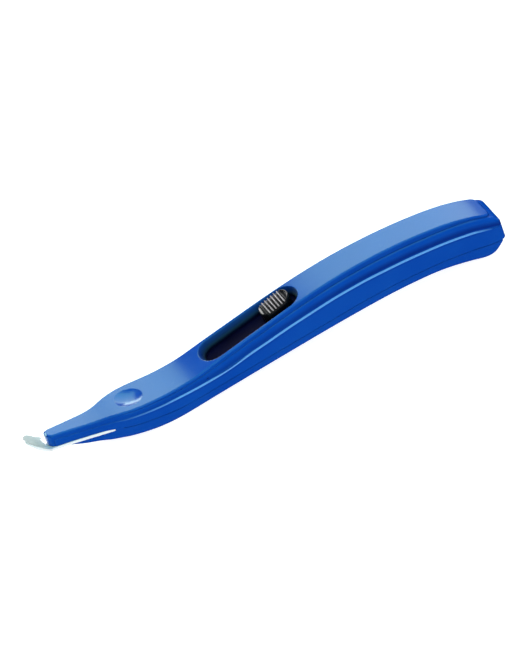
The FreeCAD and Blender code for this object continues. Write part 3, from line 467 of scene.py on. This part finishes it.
# %% Ledge lines
CREST_DROP, CREST_FADE = 0.1 * MM, (1.25, 0.6)
UNDER_DROP, UNDER_FADE = 0.75 * MM, (1.4, 0.3)
COVE_FOOT, COVE_HEAD = (0.22 * MM, 0.6 * MM), (2.6 * MM, 1.0 * MM)
LINE_FRONT, LINE_REAR, COVE_RUN = (0.17, 0.32), (0.98, 0.94), (0.2, 0.75)

width = calc(ledge, "MULTIPLY", given.outputs["Width"], MM)
run = calc(ledge, "MULTIPLY", ramp(ledge, station, *LINE_FRONT),
           ramp(ledge, station, *LINE_REAR))
# Crest is the mask for a painted highlight, Under the mask for painted shade.
for label, drop, fade in (("Crest", CREST_DROP, CREST_FADE), ("Under", UNDER_DROP, UNDER_FADE)):
    off = calc(ledge, "ABSOLUTE", calc(ledge, "ADD", level, drop))
    band = ramp(ledge, calc(ledge, "DIVIDE", off, width), *fade)
    ledge.links.new(calc(ledge, "MULTIPLY", run, band), made.inputs[label])
# Cove is the mask for painted shade above the ledge.
cove = calc(ledge, "MULTIPLY", ramp(ledge, level, *COVE_FOOT), ramp(ledge, level, *COVE_HEAD))
ledge.links.new(calc(ledge, "MULTIPLY", cove, ramp(ledge, station, *COVE_RUN)),
                made.inputs["Cove"])
print("ledge_lines has", len(ledge.nodes), "nodes")

# %% [markdown]
# ## Blue plastic of the handle
# The shells are moulded from ABS with the colour all through it, taken from a polished
# mould, so the plastic is deep blue, smooth and satin bright. One flat blue would look like
# a drawing. Here the slow shade, a random tone, keeps the big panel from looking like paint.
# Edges and the ledge's crest are painted lighter as painted highlights; hollows, the band
# under the ledge and the cove are painted darker as painted shade, and the slot shade darkens
# the slot. Hair scratches only change the gloss, which is how they show on a new tool. The
# tint of the gloss keeps the shine on the panel blue.

# %% Blue plastic
BLUE, BLUE_WAVE = (0.0001, 0.050, 0.380, 1), (0.0002, 0.057, 0.400, 1)
EDGE_HIGHLIGHT_BLUE, HOLLOW_SHADE_BLUE = (0.03, 0.22, 0.70, 1), (0.0, 0.010, 0.15, 1)
UNDER_LEDGE_SHADE_BLUE, COVE_SHADE_BLUE = (0.0, 0.02, 0.22, 1), (0.0, 0.018, 0.22, 1)
CREST_HIGHLIGHT_BLUE, SLOT_BLUE = (0.16, 0.36, 0.82, 1), (0.0, 0.0, 0.024, 1)
HOLLOW_SIZE, HOLLOW_LIMITS, HOLLOW_SAMPLES = 1.8 * MM, (0.40, 0.96), 8
EDGE_SHARE, UNDER_SHARE, CREST_SHARE = 0.16, 0.5, 0.95

blue, tree, shader = new_material("blue_plastic", Specular_IOR_Level=0.6, IOR=1.5,
                                  Specular_Tint=(0.28, 1.0, 0.46, 1.0))
grain = put_in(blue, skin, Grain_Size=0.16, Wave_Size=14.0)
marks = put_in(blue, handling, Hair_Width=0.06, Hair_Length=7.0, Dust_Size=0.6)
edge = put_in(blue, wear_and_sheen, Radius=0.4)
lines = put_in(blue, ledge, Width=0.21)
sunken = put_in(blue, shade, Depth=2.3)
hollow = add(tree, "ShaderNodeAmbientOcclusion", {"Distance": HOLLOW_SIZE},
             samples=HOLLOW_SAMPLES, only_local=True)
edge_highlight = calc(tree, "MULTIPLY", edge.outputs["Edge"], EDGE_SHARE)
under = calc(tree, "MULTIPLY", lines.outputs["Under"], UNDER_SHARE)
crest = calc(tree, "MULTIPLY", lines.outputs["Crest"], CREST_SHARE)
body = tint(tree, grain.outputs["Shade"], BLUE, BLUE_WAVE)
# Painted highlight: edges are painted a lighter blue.
body = tint(tree, edge_highlight, body, EDGE_HIGHLIGHT_BLUE)
# Painted shade: hollows found by occlusion are painted a darker blue.
body = tint(tree, ramp(tree, hollow.outputs["AO"], *HOLLOW_LIMITS), HOLLOW_SHADE_BLUE, body)
# Painted shade: the band under the ledge is painted darker.
body = tint(tree, under, body, UNDER_LEDGE_SHADE_BLUE)
# Painted shade: the cove above the ledge is painted darker.
body = tint(tree, lines.outputs["Cove"], body, COVE_SHADE_BLUE)
# Painted highlight: the ledge's crest is painted light.
body = tint(tree, crest, body, CREST_HIGHLIGHT_BLUE)
colour_shader(tree, shader, tint(tree, sunken.outputs["Shade"], body, SLOT_BLUE))
roughen(tree, shader, 0.18, (grain.outputs["Shade"], 0.03), (marks.outputs["Hairs"], 0.10),
        (marks.outputs["Dust"], 0.03), (sunken.outputs["Shade"], 0.45))
relieve(tree, shader, grain.outputs["Height"], depth=0.0012, edge_radius=0.3)
print("blue plastic:", len(tree.nodes), "nodes")

# %% [markdown]
# ## Black plastic of the button
# The button is black and a little grippier than the handle, so its grain is finer and its
# gloss lower. A plain black would lose its shape; its edges are painted dark grey as a painted
# highlight and are smoother than the rest, which keeps it readable.

# %% Black plastic
BLACK, BLACK_WAVE = (0.002, 0.002, 0.0025, 1), (0.005, 0.005, 0.0055, 1)
EDGE_SHEEN_GREY = (0.05, 0.05, 0.05, 1)

black, tree, shader = new_material("black_plastic", IOR=1.5, Specular_IOR_Level=0.4)
grain = put_in(black, skin, Grain_Size=0.10, Wave_Size=3.0)
marks = put_in(black, handling, Hair_Width=0.05, Hair_Length=2.0, Dust_Size=0.25)
edge = put_in(black, wear_and_sheen, Radius=0.12)
body = tint(tree, grain.outputs["Shade"], BLACK, BLACK_WAVE)
# Painted highlight: edges are painted dark grey.
body = tint(tree, calc(tree, "MULTIPLY", edge.outputs["Edge"], 0.5), body, EDGE_SHEEN_GREY)
colour_shader(tree, shader, body)
roughen(tree, shader, 0.24, (edge.outputs["Edge"], -0.06), (marks.outputs["Hairs"], 0.08))
relieve(tree, shader, grain.outputs["Height"], depth=0.002)
print("black plastic:", len(tree.nodes), "nodes")

# %% [markdown]
# ## Ribs with a painted highlight
# The ribs are the same plastic. Their crowns are painted a bright grey as a painted
# highlight, while their flanks stay black. The edge effect can't find a crown that is round,
# so this finish asks how far the surface faces out of the slope instead.

# %% Ribs with painted highlight
RIB_SHEEN_GREY, RIB_SHEEN_GREY_WAVE = (0.200, 0.135, 0.150, 1), (0.260, 0.175, 0.195, 1)
RIB_FLANK, CROWN_LIMITS, CROWN_SHARE = (0.012, 0.012, 0.013, 1), (0.15, 0.75), 0.95

black_with_painted_sheen, tree, shader = new_material("black_with_painted_sheen", IOR=1.5, Specular_IOR_Level=0.8)
grain = put_in(black_with_painted_sheen, skin, Grain_Size=0.08, Wave_Size=1.5)
marks = put_in(black_with_painted_sheen, handling, Hair_Width=0.04, Hair_Length=1.2, Dust_Size=0.2)
facing_out = add(tree, "ShaderNodeVectorMath",
                 {0: add(tree, "ShaderNodeTexCoord").outputs["Normal"], 1: tuple(OUT)},
                 operation="DOT_PRODUCT")
crown = calc(tree, "MULTIPLY", ramp(tree, facing_out.outputs["Value"], *CROWN_LIMITS),
             CROWN_SHARE)
body = tint(tree, grain.outputs["Shade"], RIB_SHEEN_GREY, RIB_SHEEN_GREY_WAVE)
# Painted highlight: surfaces facing out of the slope are painted bright grey.
colour_shader(tree, shader, tint(tree, crown, RIB_FLANK, body))
roughen(tree, shader, 0.27, (marks.outputs["Hairs"], 0.1))
relieve(tree, shader, grain.outputs["Height"], depth=0.001)
print("rubbed ribs:", len(tree.nodes), "nodes")

# %% [markdown]
# ## Slide plastic
# The plate under the button closes the slot from below. It is plain moulded plastic that
# nobody touches, matt and so dark a blue that the bottom of the slot reads as shadow. Real
# shadow alone would need a deeper slot than the thin handle has room for.

# %% Slide plastic
SLIDE_DARK, SLIDE_WAVE = (0.0003, 0.0004, 0.010, 1), (0.0006, 0.0008, 0.016, 1)

slide, tree, shader = new_material("slide_plastic", IOR=1.48, Specular_IOR_Level=0.08)
grain = put_in(slide, skin, Grain_Size=0.2, Wave_Size=4.0)
colour_shader(tree, shader, tint(tree, grain.outputs["Shade"], SLIDE_DARK, SLIDE_WAVE))
roughen(tree, shader, 0.60, (grain.outputs["Shade"], 0.08))
relieve(tree, shader, grain.outputs["Height"], depth=0.003)
print("slide plastic:", len(tree.nodes), "nodes")

# %% [markdown]
# ## Nickel of the magnet
# The magnet is a bar with a thin coat of nickel, which handling dulls and corners wear
# through to a darker metal. Plain metal with scratches and the edge effect shows both.

# %% Nickel
NICKEL, WORN_NICKEL = (0.60, 0.58, 0.55, 1), (0.42, 0.40, 0.38, 1)

nickel, tree, shader = new_material("magnet_metal", Metallic=1.0)
marks = put_in(nickel, handling, Hair_Width=0.04, Hair_Length=1.5, Dust_Size=0.2)
edge = put_in(nickel, wear_and_sheen, Radius=0.15)
colour_shader(tree, shader, tint(tree, edge.outputs["Edge"], NICKEL, WORN_NICKEL))
roughen(tree, shader, 0.24, (marks.outputs["Hairs"], 0.2))
relieve(tree, shader, marks.outputs["Hairs"], depth=0.001)
print("nickel:", len(tree.nodes), "nodes")

# %% [markdown]
# ## Polished steel of the blade
# The blade is stamped from stainless strip and tumbled bright. As a pure mirror it would
# only show the dark room. Tumbling leaves a pale satin skin that scatters light as well as
# mirroring it, with very fine marks along its length, so this metal is only partly
# metallic. The sheared edges scatter most of all and look pale from every side.

# %% Polished steel
STEEL, STEEL_WAVE = (0.90, 0.81, 0.85, 1), (0.96, 0.87, 0.90, 1)
SHEARED, SHEAR_LIMITS = (0.96, 0.92, 0.94, 1), (0.3, 0.75)
SHINE, SHINE_LOST = 0.35, 0.27

steel, tree, shader = new_material("polished_steel")
marks = put_in(steel, handling, Hair_Width=0.03, Hair_Length=9.0, Dust_Size=0.3)
grain = put_in(steel, skin, Grain_Size=0.08, Wave_Size=3.0)
sideways = add(tree, "ShaderNodeSeparateXYZ",
               {0: add(tree, "ShaderNodeTexCoord").outputs["Normal"]})
sheared = ramp(tree, calc(tree, "ABSOLUTE", sideways.outputs["Y"]), *SHEAR_LIMITS)
body = tint(tree, grain.outputs["Shade"], STEEL, STEEL_WAVE)
colour_shader(tree, shader, tint(tree, sheared, body, SHEARED))
shine = calc(tree, "SUBTRACT", SHINE, calc(tree, "MULTIPLY", sheared, SHINE_LOST))
tree.links.new(shine, shader.inputs["Metallic"])
roughen(tree, shader, 0.07, (marks.outputs["Hairs"], 0.10), (grain.outputs["Shade"], 0.04))
relieve(tree, shader, marks.outputs["Hairs"], depth=0.0006, edge_radius=0.12)
print("polished steel:", len(tree.nodes), "nodes")

# %% [markdown]
# ## Floor paper
# The paper is lit from behind as well as from above, as on a light table, so that the tool
# casts hardly any shadow. A glow of its own does the same as a lamp under it. Its colour is
# a mid grey with slow fibres, because the glow already gives most of its white.

# %% Floor paper
PAPER, PAPER_FIBRE = (0.42, 0.42, 0.42, 1), (0.44, 0.44, 0.44, 1)

paper, tree, shader = new_material("floor_paper", Roughness=0.8, Specular_IOR_Level=0.2,
                                   Emission_Color=(1.0, 1.0, 1.0, 1.0),
                                   Emission_Strength=0.90)
fibre = put_in(paper, skin, Grain_Size=1.5, Wave_Size=300.0)
colour_shader(tree, shader, tint(tree, fibre.outputs["Shade"], PAPER, PAPER_FIBRE))
floor_mesh.materials.append(paper)
print("floor paper:", len(tree.nodes), "nodes")

# %% [markdown]
# ## The shape of the thumb button
# The button is a smooth domed block with a rounded front, a low floor under its ribs and a
# thumb pocket at the rear. It could be cut and bevelled from a block, but its top changes
# everywhere. Two rules describe it better: its outline, which gives the half width at each
# place along it, and its height over each point of that outline.

# %% Outline of the button
def half_width(along):
    """Half width of the rounded outline at a place along the button."""
    past = max(abs(along) - (HALF_LENGTH - CORNER), 0.0)
    return HALF_WIDTH - CORNER + math.sqrt(max(CORNER ** 2 - past ** 2, 0.0))


def inside(along, side):
    """How far a point lies inside the outline."""
    past = max(abs(along) - (HALF_LENGTH - CORNER), 0.0)
    beside = max(abs(side) - (HALF_WIDTH - CORNER), 0.0)
    return CORNER - math.hypot(past, beside)


def on_slope(along, side, out):
    """Point of the scene from a place on the button, measured from its crown's middle."""
    return ALONG * (MIDDLE + along) + SIDE * side + OUT * (CREST + out)


print("width at the middle", round(2000 * half_width(0.0), 2), "mm")

# %% Height of the button
CROWN = 24.0 * MM
EDGE_ROUND, FRONT_ROUND, FRONT_SHARE = 0.35 * MM, 1.5 * MM, 0.8
DOME_END, FLOOR_DROP, FLOOR_STEP = -3.75 * MM, 0.55 * MM, 0.1 * MM
POCKET_START, POCKET_DROP, POCKET_WALL = 3.55 * MM, 0.6 * MM, (0.15 * MM, 0.4 * MM)
POCKET_RIM, POCKET_INNER, POCKET_OUTER = 0.5 * MM, 0.15 * MM, 0.1 * MM


def blend(low, high, value):
    """Smooth step from 0 to 1 as a value goes from low to high."""
    share = min(max((value - low) / (high - low), 0.0), 1.0)
    return share * share * (3.0 - 2.0 * share)


def button_height(along, side):
    """Height of the button's top: crown, edges, rounded front, rib floor and pocket."""
    height = along * TILT - side * side / (2 * CROWN)
    gap = min(max(inside(along, side), 0.0), EDGE_ROUND)
    height -= EDGE_ROUND - math.sqrt(EDGE_ROUND ** 2 - (EDGE_ROUND - gap) ** 2)
    front = min(max(-HALF_LENGTH + FRONT_ROUND - along, 0.0) / FRONT_ROUND, 1.0)
    height -= FRONT_SHARE * FRONT_ROUND * (1.0 - math.sqrt(1.0 - front ** 2))
    under_ribs = blend(DOME_END - FLOOR_STEP, DOME_END + FLOOR_STEP, along)
    under_ribs *= 1.0 - blend(POCKET_START - FLOOR_STEP, POCKET_START + FLOOR_STEP, along)
    pocket = blend(POCKET_START + POCKET_WALL[0], POCKET_START + POCKET_WALL[1], along)
    pocket *= blend(POCKET_RIM - POCKET_OUTER, POCKET_RIM + POCKET_INNER, inside(along, side))
    return height - FLOOR_DROP * under_ribs - POCKET_DROP * pocket


print("rib floor", round(1000 * button_height(0.0, 0.0), 2), "mm from the crest")

# %% [markdown]
# ## The mesh of the button
# A grid of points is laid over the outline, closer together towards the sides where the
# edge is round. Its rim is dropped straight down to a base deep in the slot for the skirt,
# and one face closes the bottom, so the piece is a closed solid. A helper then makes a piece
# of the points and faces; the ribs use it too.

# %% Mesh of the button
COLUMNS, ROWS, FOOT = 150, 44, -4.6 * MM


def button_body(columns, rows):
    """Points and faces of the button: a grid over the outline, a skirt and a flat base."""
    points, faces = [], []
    for column in range(columns + 1):
        along = -HALF_LENGTH + 2 * HALF_LENGTH * column / columns
        width = half_width(along)
        for row in range(rows + 1):
            side = width * math.sin(0.5 * math.pi * (2 * row / rows - 1))
            points.append(on_slope(along, side, button_height(along, side)))
    for column in range(columns):
        for row in range(rows):
            first = column * (rows + 1) + row
            faces.append((first, first + rows + 1, first + rows + 2, first + 1))
    rim = [column * (rows + 1) for column in range(columns + 1)]
    rim += [columns * (rows + 1) + row for row in range(1, rows + 1)]
    rim += [column * (rows + 1) + rows for column in range(columns - 1, -1, -1)]
    rim += [row for row in range(rows - 1, 0, -1)]
    base = len(points)
    for index in rim:
        point = points[index]
        points.append(point + OUT * (CREST + FOOT - point.dot(OUT)))
    for index, start in enumerate(rim):
        following = (index + 1) % len(rim)
        faces.append((rim[following], start, base + index, base + following))
    faces.append(tuple(range(base, base + len(rim))))
    return points, faces


print("grid of", COLUMNS, "by", ROWS, "faces")

# %% Make the button body
MERGE = 0.002 * MM


def new_piece(name, points, faces, material):
    """Piece from points and faces, smooth, with doubles merged and faces turned outwards."""
    mesh = bpy.data.meshes.new(name)
    mesh.from_pydata(points, [], faces)
    shape = bmesh.new()
    shape.from_mesh(mesh)
    bmesh.ops.remove_doubles(shape, verts=shape.verts, dist=MERGE)
    bmesh.ops.recalc_face_normals(shape, faces=shape.faces)
    shape.to_mesh(mesh)
    shape.free()
    mesh.shade_smooth()
    mesh.materials.append(material)
    piece = bpy.data.objects.new(name, mesh)
    bpy.context.scene.collection.objects.link(piece)
    return piece


body_piece = new_piece("button_body", *button_body(COLUMNS, ROWS), black)
print("button body:", len(body_piece.data.vertices), "points")

# %% [markdown]
# ## The grip ribs
# Six rounded ribs cross the button. They are alike but for their length, which follows the
# outline, so six hand-made bars would repeat one rule six times. A small tree of geometry
# nodes draws them instead, and count, pitch, radius and sizes are its named inputs. It works
# in flat coordinates, along the button in X and across it in Y, and the result is laid on
# the slope afterwards.

# %% Inputs of the rib tree
RIB_COUNT, RIB_RADIUS = 6, 0.25 * MM
RIB_INPUTS = {"Count": RIB_COUNT, "First": -2.95 * MM, "Pitch": 1.2 * MM,
              "Radius": RIB_RADIUS, "Straight": HALF_LENGTH - CORNER,
              "Corner": CORNER - RIB_RADIUS}

tree = bpy.data.node_groups.new("grip_ribs", "GeometryNodeTree")
tree.interface.new_socket("Geometry", in_out="INPUT", socket_type="NodeSocketGeometry")
keys = {}
for label in RIB_INPUTS:
    kind = "NodeSocketInt" if label == "Count" else "NodeSocketFloat"
    keys[label] = tree.interface.new_socket(label, in_out="INPUT", socket_type=kind).identifier
tree.interface.new_socket("Geometry", in_out="OUTPUT", socket_type="NodeSocketGeometry")
given, made = add(tree, "NodeGroupInput"), add(tree, "NodeGroupOutput")
print("rib tree inputs:", ", ".join(RIB_INPUTS))

# %% [markdown]
# ### One line for each rib
# A row of points sets the pitch, and a short curve stands on each of them. Each curve is
# stretched to the width of the outline at its place, which is the rule that `half_width`
# gives, less the radius of the rib's round end.

# %% Lines of the ribs
start = add(tree, "ShaderNodeCombineXYZ", {"X": given.outputs["First"]})
step = add(tree, "ShaderNodeCombineXYZ", {"X": given.outputs["Pitch"]})
row = add(tree, "GeometryNodeMeshLine", {"Count": given.outputs["Count"],
                                         "Start Location": start.outputs[0],
                                         "Offset": step.outputs[0]})
bar = add(tree, "GeometryNodeCurvePrimitiveLine", {"Start": (0.0, -1.0, 0.0),
                                                   "End": (0.0, 1.0, 0.0)})
stood = add(tree, "ShaderNodeSeparateXYZ",
            {0: add(tree, "GeometryNodeInputPosition").outputs[0]})
past = calc(tree, "SUBTRACT", calc(tree, "ABSOLUTE", stood.outputs["X"]),
            given.outputs["Straight"])
past = calc(tree, "MAXIMUM", past, 0.0)
corner = given.outputs["Corner"]
room = calc(tree, "SUBTRACT", calc(tree, "MULTIPLY", corner, corner),
            calc(tree, "MULTIPLY", past, past))
length = calc(tree, "ADD", calc(tree, "SQRT", room), HALF_WIDTH - CORNER)
sizes = add(tree, "ShaderNodeCombineXYZ", {"X": 1.0, "Y": length, "Z": 1.0})
bars = add(tree, "GeometryNodeInstanceOnPoints", {"Points": row.outputs["Mesh"],
                                                  "Instance": bar.outputs["Curve"],
                                                  "Scale": sizes.outputs[0]})
rib_lines = add(tree, "GeometryNodeRealizeInstances", {"Geometry": bars.outputs[0]})
print("rib lines:", len(tree.nodes), "nodes so far")

# %% [markdown]
# ### Bend and sweep
# Each line is divided, bent down with the crown and lifted with its tilt, and swept with a
# round section. A swept tube ends in a hole, so a ball sits on each end, hides the hole and
# rounds the end. The two are not welded: the rim of each tube stays open inside its ball,
# where nothing shows. The tree ends by turning its copies into real faces and giving them
# their finish.

# %% Sweep of the ribs
LINE_POINTS, ROUND_SIDES, BALL_RINGS = 25, 20, 10

fine = add(tree, "GeometryNodeResampleCurve", {"Curve": rib_lines.outputs[0],
                                               "Count": LINE_POINTS})
here = add(tree, "ShaderNodeSeparateXYZ",
           {0: add(tree, "GeometryNodeInputPosition").outputs[0]})
drop = calc(tree, "MULTIPLY", here.outputs["Y"], here.outputs["Y"])
drop = calc(tree, "DIVIDE", drop, -2 * CROWN)
lift = calc(tree, "ADD", drop, calc(tree, "MULTIPLY", here.outputs["X"], TILT))
lift = calc(tree, "SUBTRACT", lift, given.outputs["Radius"])
offset = add(tree, "ShaderNodeCombineXYZ", {"Z": lift})
bent = add(tree, "GeometryNodeSetPosition", {"Geometry": fine.outputs[0],
                                             "Offset": offset.outputs[0]})
ring = add(tree, "GeometryNodeCurvePrimitiveCircle", {"Resolution": ROUND_SIDES,
                                                      "Radius": given.outputs["Radius"]})
tubes = add(tree, "GeometryNodeCurveToMesh", {"Curve": bent.outputs[0],
                                              "Profile Curve": ring.outputs["Curve"]})
ball = add(tree, "GeometryNodeMeshUVSphere", {"Segments": ROUND_SIDES, "Rings": BALL_RINGS,
                                              "Radius": given.outputs["Radius"]})
tips = add(tree, "GeometryNodeCurveEndpointSelection", {"Start Size": 1, "End Size": 1})
balls = add(tree, "GeometryNodeInstanceOnPoints", {"Points": bent.outputs[0],
                                                   "Selection": tips.outputs[0],
                                                   "Instance": ball.outputs["Mesh"]})
both = add(tree, "GeometryNodeJoinGeometry")
tree.links.new(tubes.outputs[0], both.inputs[0])
tree.links.new(balls.outputs[0], both.inputs[0])
whole = add(tree, "GeometryNodeRealizeInstances", {"Geometry": both.outputs[0]})
finish = add(tree, "GeometryNodeSetMaterial", {"Geometry": whole.outputs[0],
                                               "Material": black_with_painted_sheen})
tree.links.new(finish.outputs[0], made.inputs[0])
print("rib tree:", len(tree.nodes), "nodes")

# %% [markdown]
# ### Draw the ribs
# The tree runs once on an empty source object. Its result is copied as a plain mesh and each
# point is laid on the slope, and the source with its modifier is then removed, so that
# nothing live is left on the piece.

# %% Draw the ribs
source = bpy.data.objects.new("rib_source", bpy.data.meshes.new("rib_source"))
bpy.context.scene.collection.objects.link(source)
modifier = source.modifiers.new("grip_ribs", "NODES")
modifier.node_group = tree
for label, value in RIB_INPUTS.items():
    modifier[keys[label]] = value
bpy.context.view_layer.update()
graph = bpy.context.evaluated_depsgraph_get()
drawn = bpy.data.meshes.new_from_object(source.evaluated_get(graph))
rib_piece = new_piece("grip_ribs", [on_slope(*vertex.co) for vertex in drawn.vertices],
                      [tuple(face.vertices) for face in drawn.polygons], black_with_painted_sheen)
bpy.data.objects.remove(source)
print("ribs:", len(rib_piece.data.vertices), "points in", RIB_COUNT, "ribs")

# %% [markdown]
# ## Put the button on the slider
# Body and ribs are one moulding on the real tool, so both ride on the slider and move with
# the magnet. They stand for the solid button, which is hidden, and each carries its own
# finish. The solid also has two snap legs that reach through the plate. Nothing shows
# them, so the dressed button ends in its flat base instead.

# %% Put the button on the slider
for piece in (body_piece, rib_piece):
    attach(piece, "slider")
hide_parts("thumb_slider")
print("on the slider:", body_piece.name, "and", rib_piece.name)

# %% [markdown]
# ## Finishes on the solids
# The other solids keep their own shape, which is already right. They only need their finish
# in the slots of their mesh.

# %% Dress the solids
FINISHES = {"upper_shell": blue, "lower_shell": blue, "lifting_blade": steel,
            "thumb_slider": black, "magnet_carrier": slide, "magnet": nickel}
for node, material in FINISHES.items():
    for holder in frame["nodes"][node].material_slots:
        holder.material = material
print("finished:", ", ".join(FINISHES))
